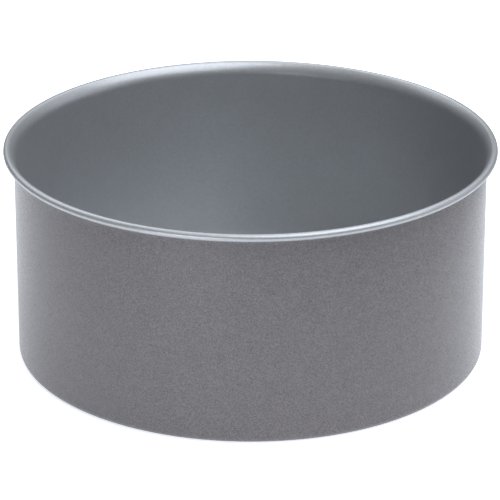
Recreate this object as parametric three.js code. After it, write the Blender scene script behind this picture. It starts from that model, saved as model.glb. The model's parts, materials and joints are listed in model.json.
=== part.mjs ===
// A deep round cake pan with a loose base, in millimetres, +Z up, standing on z = 0 about the Z axis.
// The wall is one sheet: turned in at the foot as a ledge, straight up the side, then flared out at the
// top and rolled round a wire. The base is a separate ribbed disc that lies on the ledge, and it is pushed
// up through the ring of the ledge to free the cake.
import * as THREE from "three";

// Driving dimensions
const INSIDE_DIAMETER = 200; // clear width between the walls, the pan's nominal size
const HEIGHT = 93.6; // from the counter to the crest of the rim
const WALL_SHEET = 0.6; // gauge of the wall's steel sheet
const CORNER_INSIDE_RADIUS = 2.4; // bend from the wall to the ledge, on the inner face
const WIRE_DIAMETER = 1.8; // wire inside the rolled rim
const WIRE_CLEARANCE = 0.1; // from the wire to the sheet rolled round it
const ROLL_STANDOFF = 1.2; // from the wall's outer face to the roll beside it
const ROLL_SWEEP = 210; // degrees that the sheet rolls on past the crest
const FLARE_RADIUS = 8; // wide bend that leans the wall's inner face out towards the roll
const BASE_SHEET = 0.8; // gauge of the loose base
const BASE_EDGE_CLEARANCE = 0.3; // from the base's edge to the start of the corner bend
const BASE_SEAT_CLEARANCE = 0.1; // from the ledge up to the base that lies on it
const LEDGE_BEARING = 6.3; // how far the ledge reaches in under the base
const RIB_INSET = 5; // from the ledge's inner edge to the outer foot of the base's rib
const RIB_WIDTH = 7; // stiffening rib pressed up into the base, foot to foot
const RIB_HEIGHT = 1.2; // rise of the rib above the base

// Fineness of the facets
const TURN_STEPS = 72; // around the Z axis
const BEND_STEPS = 4; // along the corner bend, and along the flare
const CREST_STEPS = 2; // along the roll up to the crest
const ROLL_STEPS = 7; // along the roll past the crest
const EDGE_STEPS = 4; // round a sheet's edge
const WIRE_SIDES = 8;
const RIB_STEPS = 6; // across the rib

// Sizes that follow from the driving dimensions
const INSIDE_RADIUS = INSIDE_DIAMETER / 2;
const OUTSIDE_RADIUS = INSIDE_RADIUS + WALL_SHEET;
const ROLL_INNER_RADIUS = WIRE_DIAMETER / 2 + WIRE_CLEARANCE;
const ROLL_OUTER_RADIUS = ROLL_INNER_RADIUS + WALL_SHEET;
const CREST_RADIUS = OUTSIDE_RADIUS + ROLL_STANDOFF + ROLL_OUTER_RADIUS;
const CREST_REACH = CREST_RADIUS - INSIDE_RADIUS;
const BASE_RADIUS = INSIDE_RADIUS - CORNER_INSIDE_RADIUS - BASE_EDGE_CLEARANCE;
const BASE_UNDERSIDE = WALL_SHEET + BASE_SEAT_CLEARANCE;
const LEDGE_INNER_RADIUS = BASE_RADIUS - LEDGE_BEARING;
const RIB_RADIUS = LEDGE_INNER_RADIUS - RIB_INSET - RIB_WIDTH / 2;

// The flare hands over to the tighter roll where both have the same slope, so that the two arcs are tangent.
const FLARE_TO_ROLL = FLARE_RADIUS - ROLL_OUTER_RADIUS;
const FLARE_TURN = Math.acos((FLARE_RADIUS - CREST_REACH) / FLARE_TO_ROLL);
const ROLL_START = 180 - THREE.MathUtils.radToDeg(FLARE_TURN);
const ROLL_END = 90 - ROLL_SWEEP;

// Centres of the section's arcs, as (radius, height)
const CORNER_CENTRE = [INSIDE_RADIUS - CORNER_INSIDE_RADIUS, WALL_SHEET + CORNER_INSIDE_RADIUS];
const ROLL_CENTRE = [CREST_RADIUS, HEIGHT - ROLL_OUTER_RADIUS];
const FLARE_CENTRE = [INSIDE_RADIUS + FLARE_RADIUS, ROLL_CENTRE[1] - FLARE_TO_ROLL * Math.sin(FLARE_TURN)];

// Finishes: a flecked grey non-stick coat on the wall, a paler, smoother one on the base, and bare drawn wire.
const fleckedCoat = new THREE.MeshStandardMaterial({ color: 0x77777b, roughness: 0.42, metalness: 0.55 });
const smoothCoat = new THREE.MeshStandardMaterial({ color: 0xc5c8ca, roughness: 0.36, metalness: 0.55 });
const bareWire = new THREE.MeshStandardMaterial({ color: 0x9a9c9e, roughness: 0.3, metalness: 1 });

// Points (radius, height) along an arc about a centre, with angles in degrees up from straight outward.
function arc([centreRadius, centreHeight], radius, from, to, steps) {
  return Array.from({ length: steps + 1 }, (_, i) => {
    const angle = THREE.MathUtils.degToRad(from + ((to - from) * i) / steps);
    return new THREE.Vector2(
      centreRadius + radius * Math.cos(angle),
      centreHeight + radius * Math.sin(angle),
    );
  });
}

// A named mesh turned about the Z axis from a section of (radius, height) points.
function turned(name, section, material) {
  const geometry = new THREE.LatheGeometry(section, TURN_STEPS);
  geometry.rotateX(Math.PI / 2);
  const mesh = new THREE.Mesh(geometry, material);
  mesh.name = name;
  return mesh;
}

// One face of the rim's sheet, from the foot of the flare over the crest to the end of the roll.
// The first point of an arc that continues another is dropped, since the two arcs share it.
function rimFace(flareRadius, rollRadius) {
  return [
    ...arc(FLARE_CENTRE, flareRadius, 180, ROLL_START, BEND_STEPS),
    ...arc(ROLL_CENTRE, rollRadius, ROLL_START, 90, CREST_STEPS).slice(1),
    ...arc(ROLL_CENTRE, rollRadius, 90, ROLL_END, ROLL_STEPS).slice(1),
  ];
}

// The roll's open end: the half-round edge between the last points of the sheet's two faces.
function rollEdge() {
  const edge = WALL_SHEET / 2;
  const [centre] = arc(ROLL_CENTRE, ROLL_OUTER_RADIUS - edge, ROLL_END, ROLL_END, 1);
  return arc([centre.x, centre.y], edge, ROLL_END - 180, ROLL_END, EDGE_STEPS).slice(1, -1);
}

// The wall's section, counter-clockwise: ledge, corner, outer face, rolled rim, and back down the inner face.
function panWall() {
  const edge = WALL_SHEET / 2;
  const section = [
    ...arc([LEDGE_INNER_RADIUS + edge, edge], edge, 90, 270, EDGE_STEPS),
    ...arc(CORNER_CENTRE, CORNER_INSIDE_RADIUS + WALL_SHEET, -90, 0, BEND_STEPS),
    ...rimFace(FLARE_RADIUS - WALL_SHEET, ROLL_INNER_RADIUS),
    ...rollEdge(),
    ...rimFace(FLARE_RADIUS, ROLL_OUTER_RADIUS).reverse(),
    ...arc(CORNER_CENTRE, CORNER_INSIDE_RADIUS, 0, -90, BEND_STEPS),
  ];
  return turned("pan_wall", [...section, section[0]], fleckedCoat);
}

// The wire is a plain ring at the middle of the roll.
function rimWire() {
  const section = arc(ROLL_CENTRE, WIRE_DIAMETER / 2, 0, 360, WIRE_SIDES).slice(1);
  return turned("rim_wire", [section.at(-1), ...section], bareWire);
}

// One face of the base, from the axis out to the rib's outer foot: flat, then the rib as a raised cosine.
function baseFace(height) {
  const rib = Array.from({ length: RIB_STEPS + 1 }, (_, i) => {
    const across = (2 * i) / RIB_STEPS - 1;
    const rise = (RIB_HEIGHT * (1 + Math.cos(Math.PI * across))) / 2;
    return new THREE.Vector2(RIB_RADIUS + (across * RIB_WIDTH) / 2, height + rise);
  });
  return [new THREE.Vector2(0, height), ...rib];
}

// The base's section: its underside, its half-round edge, and its top face back to the axis.
function looseBase() {
  const edge = BASE_SHEET / 2;
  const section = [
    ...baseFace(BASE_UNDERSIDE),
    ...arc([BASE_RADIUS - edge, BASE_UNDERSIDE + edge], edge, -90, 90, EDGE_STEPS),
    ...baseFace(BASE_UNDERSIDE + BASE_SHEET).reverse(),
  ];
  return turned("loose_base", section, smoothCoat);
}

const cakePan = new THREE.Group();
cakePan.add(panWall(), rimWire(), looseBase());

export default cakePan;
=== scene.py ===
"""A deep round cake pan with a loose base, dressed for a studio photograph.

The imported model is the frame. It gives the sizes, and each of its nodes is stood in for by a finer surface
turned about the Z axis. Sizes are written in millimetres and become metres as the vertices are made.
"""

from __future__ import annotations

import json
import logging
import math
from collections.abc import Mapping, Sequence
from dataclasses import dataclass
from enum import Enum
from typing import Any

import bpy
import numpy as np
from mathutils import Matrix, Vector

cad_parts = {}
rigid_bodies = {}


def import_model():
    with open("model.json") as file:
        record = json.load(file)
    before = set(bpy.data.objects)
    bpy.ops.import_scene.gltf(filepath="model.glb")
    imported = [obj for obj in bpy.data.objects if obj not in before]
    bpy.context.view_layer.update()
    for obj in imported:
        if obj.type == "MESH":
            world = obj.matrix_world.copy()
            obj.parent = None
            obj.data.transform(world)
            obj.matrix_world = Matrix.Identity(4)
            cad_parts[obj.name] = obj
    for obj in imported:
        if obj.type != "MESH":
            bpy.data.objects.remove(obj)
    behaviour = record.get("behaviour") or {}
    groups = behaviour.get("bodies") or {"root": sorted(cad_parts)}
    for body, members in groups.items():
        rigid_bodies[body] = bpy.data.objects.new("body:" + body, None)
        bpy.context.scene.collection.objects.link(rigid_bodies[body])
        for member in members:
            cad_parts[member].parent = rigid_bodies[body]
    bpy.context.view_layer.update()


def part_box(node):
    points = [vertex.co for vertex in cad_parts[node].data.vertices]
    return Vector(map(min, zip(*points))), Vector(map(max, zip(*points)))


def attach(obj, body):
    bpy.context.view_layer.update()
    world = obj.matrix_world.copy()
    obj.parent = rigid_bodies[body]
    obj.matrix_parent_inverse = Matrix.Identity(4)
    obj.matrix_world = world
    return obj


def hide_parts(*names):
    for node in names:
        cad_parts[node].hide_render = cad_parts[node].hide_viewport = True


log = logging.getLogger("cake_pan")

MM = 0.001
TURN_STEPS = 288
DISC_STEPS = 96
ARC_STEP_DEG = 5.0
ROW_SPACING = 2.5
# Most of a noise texture's values lie in this span, and a cell's random colour lies round this middle.
NOISE_SPAN = (0.3, 0.7)
MID_CHANCE = (0.5, 0.5, 0.5)
WHITE = "#ffffff"


class Side(Enum):
    """The side of the sheet that a strip of a section lies on; the value is its material slot."""

    INSIDE = 0
    OUTSIDE = 1
    CUT_EDGE = 2
    BASE_TOP = 3


@dataclass(frozen=True)
class Strip:
    """A run of section points, as rows of (radius, height) in millimetres, on one side of the sheet."""

    points: np.ndarray
    side: Side


def linear_colour(code: str) -> tuple[float, float, float, float]:
    """Turns an sRGB hex colour into linear red, green, blue and full alpha.

    Args:
        code: A colour such as "#77777b".

    Returns:
        Four floats, as Blender's colour sockets take them.
    """
    srgb = np.array([int(code[i : i + 2], 16) for i in (1, 3, 5)]) / 255
    linear = np.where(srgb <= 0.04045, srgb / 12.92, ((srgb + 0.055) / 1.055) ** 2.4)
    return (*linear.tolist(), 1.0)


def per_metre(size_mm: float) -> float:
    """Gives the scale at which a pattern's features are that many millimetres apart."""
    return 1 / (size_mm * MM)


def add_node(
    tree: bpy.types.NodeTree,
    kind: str,
    settings: Mapping[str, Any] | None = None,
    values: Mapping[str | int, Any] | None = None,
    links: Mapping[str | int, bpy.types.NodeSocket] | None = None,
) -> bpy.types.Node:
    """Adds a node to a tree with its settings, input values and links.

    Args:
        tree: The node tree.
        kind: The node's type name without the words ShaderNode.
        settings: The node's own properties.
        values: Input sockets, by name or number, and the values they hold.
        links: Input sockets, by name or number, and the output that feeds each.

    Returns:
        The new node.
    """
    node = tree.nodes.new("ShaderNode" + kind)
    for name, value in (settings or {}).items():
        setattr(node, name, value)
    for name, value in (values or {}).items():
        node.inputs[name].default_value = value
    for name, socket in (links or {}).items():
        tree.links.new(socket, node.inputs[name])
    return node


def empty_material(name: str) -> tuple[bpy.types.Material, bpy.types.NodeTree]:
    """Makes a material with no nodes.

    Args:
        name: The material's name.

    Returns:
        The material and its node tree.
    """
    material = bpy.data.materials.new(name)
    material.use_nodes = True
    material.node_tree.nodes.clear()
    return material, material.node_tree


@dataclass(frozen=True)
class Glow:
    """How strongly something shines: straight to the camera, in reflections, and as light on the pan."""

    seen: float
    mirrored: float
    lighting: float = 0.0

    def strength(
        self, tree: bpy.types.NodeTree, shade: bpy.types.NodeSocket | None = None
    ) -> bpy.types.NodeSocket:
        """Sums each level times the kind of ray that it is for.

        Args:
            tree: The node tree.
            shade: What the level in reflections is multiplied by, if anything.

        Returns:
            The socket that carries the strength.
        """
        path = add_node(tree, "LightPath")
        bounced = add_node(
            tree,
            "Math",
            {"operation": "MAXIMUM"},
            links={0: path.outputs["Is Glossy Ray"], 1: path.outputs["Is Transmission Ray"]},
        )
        level = add_node(tree, "Math", {"operation": "MULTIPLY"}, {1: self.mirrored}, {0: bounced.outputs[0]})
        if shade is not None:
            level = add_node(tree, "Math", {"operation": "MULTIPLY"}, links={0: level.outputs[0], 1: shade})
        for ray, share in (("Is Camera Ray", self.seen), ("Is Diffuse Ray", self.lighting)):
            level = add_node(
                tree,
                "Math",
                {"operation": "MULTIPLY_ADD"},
                {1: share},
                {0: path.outputs[ray], 2: level.outputs[0]},
            )
        return level.outputs[0]


def arc(centre: tuple[float, float], radius: float, start: float, end: float) -> np.ndarray:
    """Points along an arc of a section: centre + radius * (cos a, sin a) for even angles a.

    Args:
        centre: Radius and height of the arc's centre.
        radius: The arc's own radius.
        start: First angle, in degrees up from straight outward.
        end: Last angle.

    Returns:
        Rows of (radius, height).
    """
    count = max(2, math.ceil(abs(end - start) / ARC_STEP_DEG)) + 1
    angles = np.radians(np.linspace(start, end, count))
    return np.array(centre) + radius * np.stack([np.cos(angles), np.sin(angles)], axis=1)


def run(start: tuple[float, float], end: tuple[float, float]) -> np.ndarray:
    """Evenly spaced points along a straight run of a section, both ends included.

    Args:
        start: Radius and height of the first point.
        end: Radius and height of the last point.

    Returns:
        Rows of (radius, height).
    """
    count = max(2, math.ceil(math.dist(start, end) / ROW_SPACING) + 1)
    return np.linspace(start, end, count)


def turned(name: str, strips: Sequence[Strip], materials: Sequence[bpy.types.Material]) -> bpy.types.Object:
    """Turns a counter-clockwise section about the Z axis into one closed mesh.

    The section point (r, z) goes to (r cos a, r sin a, z) for even angles a round the circle. A section whose
    ends lie on the axis closes there with a fan of triangles at each end. Any other section joins its last
    point to its first.

    Args:
        name: The new object's name.
        strips: The section, strip after strip, each one starting where the last one ended.
        materials: The materials of the sheet's sides, in the order of their slots.

    Returns:
        The new object, at the origin.
    """
    points = np.concatenate([strip.points[:-1] for strip in strips])
    sides = np.concatenate([np.full(len(strip.points) - 1, strip.side.value) for strip in strips])
    on_axis = math.isclose(points[0, 0], 0.0, abs_tol=1e-9)
    rows = points[1:] if on_axis else points
    angles = np.linspace(0, 2 * np.pi, TURN_STEPS, endpoint=False)
    vertices = np.empty((TURN_STEPS, len(rows), 3))
    vertices[..., 0] = np.cos(angles)[:, None] * rows[:, 0]
    vertices[..., 1] = np.sin(angles)[:, None] * rows[:, 0]
    vertices[..., 2] = rows[:, 1]
    vertices = vertices.reshape(-1, 3)

    index = np.arange(TURN_STEPS * len(rows)).reshape(TURN_STEPS, len(rows))
    ahead = np.roll(index, -1, axis=0)
    if on_axis:
        low_pole = len(vertices)
        high_pole = low_pole + 1
        poles = [strips[0].points[0], strips[-1].points[-1]]
        vertices = np.concatenate([vertices, [(0.0, 0.0, z) for _, z in poles]])
        quads = np.stack([index[:, :-1], ahead[:, :-1], ahead[:, 1:], index[:, 1:]], axis=-1)
        low_fan = np.stack([np.full(TURN_STEPS, low_pole), ahead[:, 0], index[:, 0]], axis=-1)
        high_fan = np.stack([index[:, -1], ahead[:, -1], np.full(TURN_STEPS, high_pole)], axis=-1)
        faces = quads.reshape(-1, 4).tolist() + low_fan.tolist() + high_fan.tolist()
        slots = np.concatenate(
            [
                np.tile(sides[1:-1], TURN_STEPS),
                np.full(TURN_STEPS, sides[0]),
                np.full(TURN_STEPS, sides[-1]),
            ]
        )
    else:
        quads = np.stack(
            [index, ahead, np.roll(ahead, -1, axis=1), np.roll(index, -1, axis=1)],
            axis=-1,
        )
        faces = quads.reshape(-1, 4).tolist()
        slots = np.tile(sides, TURN_STEPS)

    mesh = bpy.data.meshes.new(name)
    mesh.from_pydata((vertices * MM).tolist(), [], faces)
    for material in materials:
        mesh.materials.append(material)
    mesh.polygons.foreach_set("material_index", slots.astype(np.int32))
    mesh.polygons.foreach_set("use_smooth", np.ones(len(faces), dtype=bool))
    mesh.update()
    piece = bpy.data.objects.new(name, mesh)
    bpy.context.scene.collection.objects.link(piece)
    return piece


@dataclass(frozen=True)
class NonStickCoat:
    """A sprayed and baked non-stick coat on steel: grey pigment and metal flecks under a clear satin skin.

    The skin levels out in the oven but isn't polished, so that lights show as soft patches. A coat that is
    mostly pigment mirrors by its skin alone and turns pale where it is seen edge on. A coat rich in metal
    takes up what stands round it as well. Each fleck is a random cell with its own tone and tilt, drawn
    several times coarser than real flecks, so that the grain shows in a picture of the whole pan.
    """

    name: str
    dark: str
    light: str
    fleck_mm: float
    fleck_tilt: float
    cloud_mm: float
    cloud_share: float
    metallic: float
    roughness: tuple[float, float]
    cloud_detail: float = 3.0

    def make(self) -> bpy.types.Material:
        """Builds the material's nodes and returns it."""
        material, tree = empty_material(self.name)
        place = add_node(tree, "TexCoord").outputs["Object"]
        cells = add_node(
            tree,
            "TexVoronoi",
            {"feature": "F1"},
            {"Scale": per_metre(self.fleck_mm)},
            {"Vector": place},
        )
        chance = add_node(tree, "SeparateColor", links={"Color": cells.outputs["Color"]})
        cloud = add_node(
            tree,
            "TexNoise",
            values={"Scale": per_metre(self.cloud_mm), "Detail": self.cloud_detail},
            links={"Vector": place},
        )
        cloudy = add_node(
            tree,
            "MapRange",
            values={
                "From Min": NOISE_SPAN[0],
                "From Max": NOISE_SPAN[1],
                "To Min": -self.cloud_share,
                "To Max": self.cloud_share,
            },
            links={"Value": cloud.outputs["Fac"]},
        )
        tone = add_node(
            tree,
            "Math",
            {"operation": "ADD", "use_clamp": True},
            links={0: chance.outputs["Red"], 1: cloudy.outputs["Result"]},
        )
        colour = add_node(
            tree,
            "Mix",
            {"data_type": "RGBA"},
            {"A": linear_colour(self.dark), "B": linear_colour(self.light)},
            {"Factor": tone.outputs[0]},
        )
        rough = add_node(
            tree,
            "MapRange",
            values={"To Min": self.roughness[0], "To Max": self.roughness[1]},
            links={"Value": chance.outputs["Green"]},
        )
        lean = add_node(
            tree,
            "VectorMath",
            {"operation": "SUBTRACT"},
            {1: MID_CHANCE},
            {0: cells.outputs["Color"]},
        )
        tilt = add_node(
            tree,
            "VectorMath",
            {"operation": "SCALE"},
            {"Scale": self.fleck_tilt},
            {0: lean.outputs["Vector"]},
        )
        surface = add_node(tree, "NewGeometry")
        leaned = add_node(
            tree,
            "VectorMath",
            {"operation": "ADD"},
            links={0: surface.outputs["Normal"], 1: tilt.outputs["Vector"]},
        )
        normal = add_node(
            tree,
            "VectorMath",
            {"operation": "NORMALIZE"},
            links={0: leaned.outputs["Vector"]},
        )
        shader = add_node(
            tree,
            "BsdfPrincipled",
            values={"Metallic": self.metallic},
            links={
                "Base Color": colour.outputs["Result"],
                "Roughness": rough.outputs["Result"],
                "Normal": normal.outputs["Vector"],
            },
        )
        add_node(tree, "OutputMaterial", links={"Surface": shader.outputs["BSDF"]})
        return material


@dataclass(frozen=True)
class BareSteel:
    """Bare steel, for the drawn wire and the sheet's cut edges: satin grey metal with a fine mottle."""

    name: str = "drawn_steel"
    dark: str = "#8d8f92"
    light: str = "#b4b6b8"
    mottle_mm: float = 0.3
    mottle_detail: float = 2.0
    roughness: float = 0.32

    def make(self) -> bpy.types.Material:
        """Builds the material's nodes and returns it."""
        material, tree = empty_material(self.name)
        place = add_node(tree, "TexCoord").outputs["Object"]
        mottle = add_node(
            tree,
            "TexNoise",
            values={"Scale": per_metre(self.mottle_mm), "Detail": self.mottle_detail},
            links={"Vector": place},
        )
        colour = add_node(
            tree,
            "Mix",
            {"data_type": "RGBA"},
            {"A": linear_colour(self.dark), "B": linear_colour(self.light)},
            {"Factor": mottle.outputs["Fac"]},
        )
        shader = add_node(
            tree,
            "BsdfPrincipled",
            values={"Metallic": 1.0, "Roughness": self.roughness},
            links={"Base Color": colour.outputs["Result"]},
        )
        add_node(tree, "OutputMaterial", links={"Surface": shader.outputs["BSDF"]})
        return material


# Sprayed thin: dark pigment with scattered bright flecks, which the eye sees as a fine salt-and-pepper grain.
OUTSIDE_COAT = NonStickCoat(
    name="flecked_grey_nonstick",
    dark="#524e4e",
    light="#726d6e",
    fleck_mm=0.35,
    fleck_tilt=0.12,
    cloud_mm=9.0,
    cloud_share=0.05,
    metallic=0.0,
    roughness=(0.26, 0.34),
)
# Sprayed thicker and baked smooth: fine metal all through it, which gives an even blue-grey sheen.
INSIDE_COAT = NonStickCoat(
    name="smooth_blue_grey_nonstick",
    dark="#a5a7a9",
    light="#abadaf",
    fleck_mm=0.9,
    fleck_tilt=0.02,
    cloud_mm=12.0,
    cloud_share=0.15,
    metallic=0.6,
    roughness=(0.32, 0.38),
)
# The inside's coat drawn paler: painted light for the strong light on the base, which throws light on to the
# foot of the wall.
BASE_COAT = NonStickCoat(
    name="pale_blue_grey_nonstick",
    dark="#c2c5c7",
    light="#c8cbcd",
    fleck_mm=0.9,
    fleck_tilt=0.02,
    cloud_mm=12.0,
    cloud_share=0.15,
    metallic=0.6,
    roughness=(0.32, 0.38),
)


@dataclass(frozen=True)
class Finishes:
    """The materials of the sheet's sides, in the order of their slots."""

    inside: bpy.types.Material
    outside: bpy.types.Material
    cut_edge: bpy.types.Material
    base_top: bpy.types.Material

    @classmethod
    def make(cls) -> Finishes:
        """Makes each finish once."""
        return cls(INSIDE_COAT.make(), OUTSIDE_COAT.make(), BareSteel().make(), BASE_COAT.make())

    def by_slot(self) -> list[bpy.types.Material]:
        """Gives the materials in the order of Side's values."""
        return [self.inside, self.outside, self.cut_edge, self.base_top]


@dataclass(frozen=True)
class RimWire:
    """The wire ring inside the rolled rim. Its sizes come from its own CAD node."""

    ring_radius: float
    height: float
    wire_radius: float

    @classmethod
    def from_frame(cls) -> RimWire:
        """Reads the ring's sizes from the frame."""
        low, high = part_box("rim_wire")
        wire_radius = (high.z - low.z) / 2 / MM
        return cls(high.x / MM - wire_radius, (low.z + high.z) / 2 / MM, wire_radius)

    def build(self, finishes: Finishes) -> bpy.types.Object:
        """Turns a full circle into the ring.

        Args:
            finishes: The pan's finishes.

        Returns:
            The wire's object.
        """
        section = arc((self.ring_radius, self.height), self.wire_radius, 0, 360)
        piece = turned("rim_wire_ring", [Strip(section, Side.CUT_EDGE)], finishes.by_slot())
        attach(piece, "wall")
        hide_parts("rim_wire")
        return piece


@dataclass(frozen=True)
class LooseBase:
    """The disc that lies on the ledge, with a stiffening rib pressed up into it.

    The rib is a raised cosine: rise = height * (1 + cos(pi * s)) / 2, for s from -1 to 1 across its width.
    """

    radius: float
    underside: float
    rib_height: float
    sheet: float = 0.8
    ledge_bearing: float = 6.3
    rib_inset: float = 5.0
    rib_width: float = 7.0
    rib_rows: int = 24

    @classmethod
    def from_frame(cls) -> LooseBase:
        """Reads the disc's radius, its underside and the rib's rise from the frame."""
        low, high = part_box("loose_base")
        rib_height = (high.z - low.z) / MM - cls.sheet
        return cls(high.x / MM, low.z / MM, rib_height)

    @property
    def ledge_inner_radius(self) -> float:
        """Radius of the ledge's inner edge, under the disc."""
        return self.radius - self.ledge_bearing

    def face(self, height: float) -> np.ndarray:
        """One face of the disc, from the axis out to its edge.

        Args:
            height: The flat face's height.

        Returns:
            Rows of (radius, height).
        """
        rib_radius = self.ledge_inner_radius - self.rib_inset - self.rib_width / 2
        across = np.linspace(-1, 1, self.rib_rows + 1)
        rise = self.rib_height * (1 + np.cos(np.pi * across)) / 2
        rib = np.stack([rib_radius + across * self.rib_width / 2, height + rise], axis=1)
        middle = run((0.0, height), tuple(rib[0]))
        border = run(tuple(rib[-1]), (self.radius - self.sheet / 2, height))
        return np.concatenate([middle[:-1], rib[:-1], border])

    def build(self, finishes: Finishes) -> bpy.types.Object:
        """Turns the underside, the half-round edge and the top face into the disc.

        Args:
            finishes: The pan's finishes.

        Returns:
            The base's object.
        """
        edge = self.sheet / 2
        centre = (self.radius - edge, self.underside + edge)
        strips = [
            Strip(self.face(self.underside), Side.OUTSIDE),
            Strip(arc(centre, edge, -90, 90), Side.CUT_EDGE),
            Strip(self.face(self.underside + self.sheet)[::-1], Side.BASE_TOP),
        ]
        piece = turned("loose_base_disc", strips, finishes.by_slot())
        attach(piece, "base")
        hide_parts("loose_base")
        return piece


@dataclass(frozen=True)
class PanWall:
    """The wall: one sheet with a ledge at its foot, a straight side and a rim that flares out and rolls over.

    The roll's centre is the wire's, and the flare meets the roll where both have the same slope.
    """

    overall_radius: float
    ledge_inner_radius: float
    wire: RimWire
    sheet: float = 0.6
    corner_inside_radius: float = 2.4
    roll_standoff: float = 1.2
    roll_sweep: float = 210.0
    flare_radius: float = 8.0

    @classmethod
    def from_frame(cls, wire: RimWire, base: LooseBase) -> PanWall:
        """Reads the overall radius from the frame, and takes the rest from the pieces that the wall holds.

        Args:
            wire: The wire that the rim is rolled round.
            base: The disc that the ledge carries.

        Returns:
            The wall.
        """
        _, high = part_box("pan_wall")
        return cls(high.x / MM, base.ledge_inner_radius, wire)

    def section(self) -> list[Strip]:
        """The wall's section, counter-clockwise from the ledge's inner edge, as strips."""
        edge = self.sheet / 2
        roll_centre = (self.wire.ring_radius, self.wire.height)
        roll_outer = self.overall_radius - self.wire.ring_radius
        outside = self.wire.ring_radius - roll_outer - self.roll_standoff
        inside = outside - self.sheet
        flare_to_roll = self.flare_radius - roll_outer
        flare_turn = math.acos((inside + self.flare_radius - roll_centre[0]) / flare_to_roll)
        flare_centre = (inside + self.flare_radius, roll_centre[1] - flare_to_roll * math.sin(flare_turn))
        roll_start = 180 - math.degrees(flare_turn)
        roll_end = 90 - self.roll_sweep
        roll_edge = arc(roll_centre, roll_outer - edge, roll_end, roll_end)[0]
        corner = (inside - self.corner_inside_radius, self.sheet + self.corner_inside_radius)
        ledge = self.ledge_inner_radius + edge
        return [
            Strip(arc((ledge, edge), edge, 90, 270), Side.CUT_EDGE),
            Strip(run((ledge, 0.0), (corner[0], 0.0)), Side.OUTSIDE),
            Strip(arc(corner, self.corner_inside_radius + self.sheet, -90, 0), Side.OUTSIDE),
            Strip(run((outside, corner[1]), (outside, flare_centre[1])), Side.OUTSIDE),
            Strip(arc(flare_centre, self.flare_radius - self.sheet, 180, roll_start), Side.OUTSIDE),
            Strip(arc(roll_centre, roll_outer - self.sheet, roll_start, roll_end), Side.OUTSIDE),
            Strip(arc(tuple(roll_edge), edge, roll_end - 180, roll_end), Side.CUT_EDGE),
            Strip(arc(roll_centre, roll_outer, roll_end, roll_start), Side.INSIDE),
            Strip(arc(flare_centre, self.flare_radius, roll_start, 180), Side.INSIDE),
            Strip(run((inside, flare_centre[1]), (inside, corner[1])), Side.INSIDE),
            Strip(arc(corner, self.corner_inside_radius, 0, -90), Side.INSIDE),
            Strip(run((corner[0], self.sheet), (ledge, self.sheet)), Side.INSIDE),
        ]

    def build(self, finishes: Finishes) -> bpy.types.Object:
        """Turns the section into the wall.

        Args:
            finishes: The pan's finishes.

        Returns:
            The wall's object.
        """
        piece = turned("pan_wall_shell", self.section(), finishes.by_slot())
        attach(piece, "wall")
        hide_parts("pan_wall")
        return piece


@dataclass(frozen=True)
class Softbox:
    """A rectangular studio light that hangs at a bearing round the pan and faces it.

    A bearing of 0 is the camera's side and 90 is the camera's right.
    """

    name: str
    bearing_deg: float
    elevation_deg: float
    distance: float
    width: float
    depth: float
    watts: float
    colour: str = "#f2f7ff"

    def hang(self, aim: Vector) -> bpy.types.Object:
        """Makes the light and turns it to face a point.

        Args:
            aim: The point that it faces, in metres.

        Returns:
            The light's object.
        """
        light = bpy.data.lights.new(self.name, "AREA")
        light.shape = "RECTANGLE"
        light.size = self.width * MM
        light.size_y = self.depth * MM
        light.energy = self.watts
        light.color = linear_colour(self.colour)[:3]
        lamp = bpy.data.objects.new(self.name, light)
        lamp.visible_camera = False
        bearing = math.radians(self.bearing_deg)
        elevation = math.radians(self.elevation_deg)
        away = Vector(
            (
                math.sin(bearing) * math.cos(elevation),
                -math.cos(bearing) * math.cos(elevation),
                math.sin(elevation),
            )
        )
        lamp.location = aim + away * self.distance * MM
        lamp.rotation_euler = away.to_track_quat("Z", "Y").to_euler()
        bpy.context.scene.collection.objects.link(lamp)
        return lamp


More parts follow.
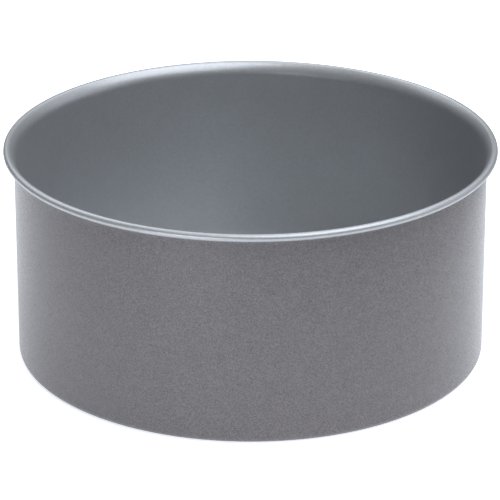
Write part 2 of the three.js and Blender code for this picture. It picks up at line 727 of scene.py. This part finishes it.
@dataclass(frozen=True)
class Studio:
    """A white sweep, a light table, a white surround, softboxes and the camera, at the photograph's angle.

    The surround shows in reflections as studio walls do, dim at the horizon and brighter with height. Its
    level there is mirrored * (horizon + (1 - horizon) * z), for the height z of a direction of length 1.
    """

    floor_radius: float = 4000.0
    floor_drop: float = 0.2
    floor_colour: str = "#f2f2f2"
    sweep_glow: Glow = Glow(1.0, 0.0)
    table_radius: float = 320.0
    table_side: float = -80.0
    table_glow: Glow = Glow(0.78, 0.8, 0.8)
    glow_colour: str = "#f2f7ff"
    surround: Glow = Glow(1.0, 0.75)
    surround_horizon: float = 0.22
    camera_elevation_deg: float = 22.77
    camera_distance: float = 1362.0
    camera_side: float = -0.24
    aim_height: float = 43.56
    lens_mm: float = 227.4
    sensor_mm: float = 36.0
    camera_reach_m: float = 50.0
    softboxes: tuple[Softbox, ...] = (
        Softbox("key", 50, 55, 1300, 1600, 1250, 15.6),
        Softbox("top", 0, 89, 1300, 1400, 1400, 4.0),
        Softbox("back", 180, 62, 1300, 2000, 900, 5.2),
        Softbox("left_back", -135, 40, 1300, 1600, 900, 4.2),
        Softbox("right_back", 135, 40, 1300, 1600, 900, 2.0),
        Softbox("right_side", 95, 14, 1300, 1300, 500, 1.2),
        Softbox("left_card", -25, 3, 450, 260, 120, 0.36),
    )

    def lay_disc(self, name: str, radius: float, side: float, height: float, glow: Glow) -> bpy.types.Object:
        """Lays a round white disc that glows flat under the pan.

        Its edge is (side + radius * cos a, radius * sin a, height) for even angles a.

        Args:
            name: The disc's name.
            radius: Its radius.
            side: How far its middle lies to the camera's right.
            height: Its height.
            glow: How it shines.

        Returns:
            The disc's object.
        """
        material, tree = empty_material(name)
        material.cycles.emission_sampling = "NONE"
        light = add_node(
            tree,
            "Emission",
            values={"Color": linear_colour(self.glow_colour)},
            links={"Strength": glow.strength(tree)},
        )
        paper = add_node(tree, "BsdfDiffuse", values={"Color": linear_colour(self.floor_colour)})
        both = add_node(
            tree,
            "AddShader",
            links={0: light.outputs["Emission"], 1: paper.outputs["BSDF"]},
        )
        add_node(tree, "OutputMaterial", links={"Surface": both.outputs["Shader"]})
        angles = np.linspace(0, 2 * np.pi, DISC_STEPS, endpoint=False)
        across = side + radius * np.cos(angles)
        ring = np.stack([across, radius * np.sin(angles), np.full_like(angles, height)], axis=1)
        mesh = bpy.data.meshes.new(name)
        mesh.from_pydata((ring * MM).tolist(), [], [list(range(len(ring)))])
        mesh.materials.append(material)
        disc = bpy.data.objects.new(name, mesh)
        bpy.context.scene.collection.objects.link(disc)
        return disc

    def light_surround(self) -> None:
        """Makes the surround white to the eye and brighter with height in reflections, and nothing else."""
        world = bpy.data.worlds.new("white_surround")
        world.use_nodes = True
        world.cycles.sampling_method = "NONE"
        tree = world.node_tree
        tree.nodes.clear()
        direction = add_node(tree, "TexCoord")
        parts = add_node(tree, "SeparateXYZ", links={0: direction.outputs["Generated"]})
        rise = add_node(
            tree,
            "MapRange",
            values={"To Min": self.surround_horizon, "To Max": 1.0},
            links={"Value": parts.outputs["Z"]},
        )
        light = add_node(
            tree,
            "Background",
            values={"Color": linear_colour(WHITE)},
            links={"Strength": self.surround.strength(tree, rise.outputs["Result"])},
        )
        add_node(tree, "OutputWorld", links={"Surface": light.outputs["Background"]})
        bpy.context.scene.world = world

    def place_camera(self) -> bpy.types.Object:
        """Sets the camera in front of the pan, looking down at it, and makes it the scene's.

        Returns:
            The camera's object.
        """
        camera = bpy.data.cameras.new("camera")
        camera.sensor_width = self.sensor_mm
        camera.lens = self.lens_mm
        camera.clip_end = self.camera_reach_m
        elevation = math.radians(self.camera_elevation_deg)
        aim = Vector((self.camera_side, 0.0, self.aim_height)) * MM
        away = Vector((0.0, -math.cos(elevation), math.sin(elevation)))
        eye = bpy.data.objects.new("camera", camera)
        eye.location = aim + away * self.camera_distance * MM
        eye.rotation_euler = away.to_track_quat("Z", "Y").to_euler()
        bpy.context.scene.collection.objects.link(eye)
        bpy.context.scene.camera = eye
        return eye

    def set_up(self) -> None:
        """Lays the floor, lights the scene and places the camera."""
        self.place_camera()
        self.lay_disc("white_sweep", self.floor_radius, 0.0, -2 * self.floor_drop, self.sweep_glow)
        self.lay_disc("light_table", self.table_radius, self.table_side, -self.floor_drop, self.table_glow)
        self.light_surround()
        aim = Vector((0.0, 0.0, self.aim_height)) * MM
        for softbox in self.softboxes:
            softbox.hang(aim)
        bpy.context.scene.view_settings.view_transform = "Standard"


def clear_scene() -> None:
    """Removes the objects that a new file starts with."""
    for thing in list(bpy.data.objects):
        bpy.data.objects.remove(thing)


def main() -> None:
    """Builds the studio and the pan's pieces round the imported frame."""
    logging.basicConfig(level=logging.INFO, format="%(name)s: %(message)s")
    clear_scene()
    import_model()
    Studio().set_up()
    finishes = Finishes.make()
    wire = RimWire.from_frame()
    base = LooseBase.from_frame()
    wall = PanWall.from_frame(wire, base)
    for part in (wall, wire, base):
        piece = part.build(finishes)
        log.info("%s: %d faces", piece.name, len(piece.data.polygons))


if __name__ == "__main__":
    main()
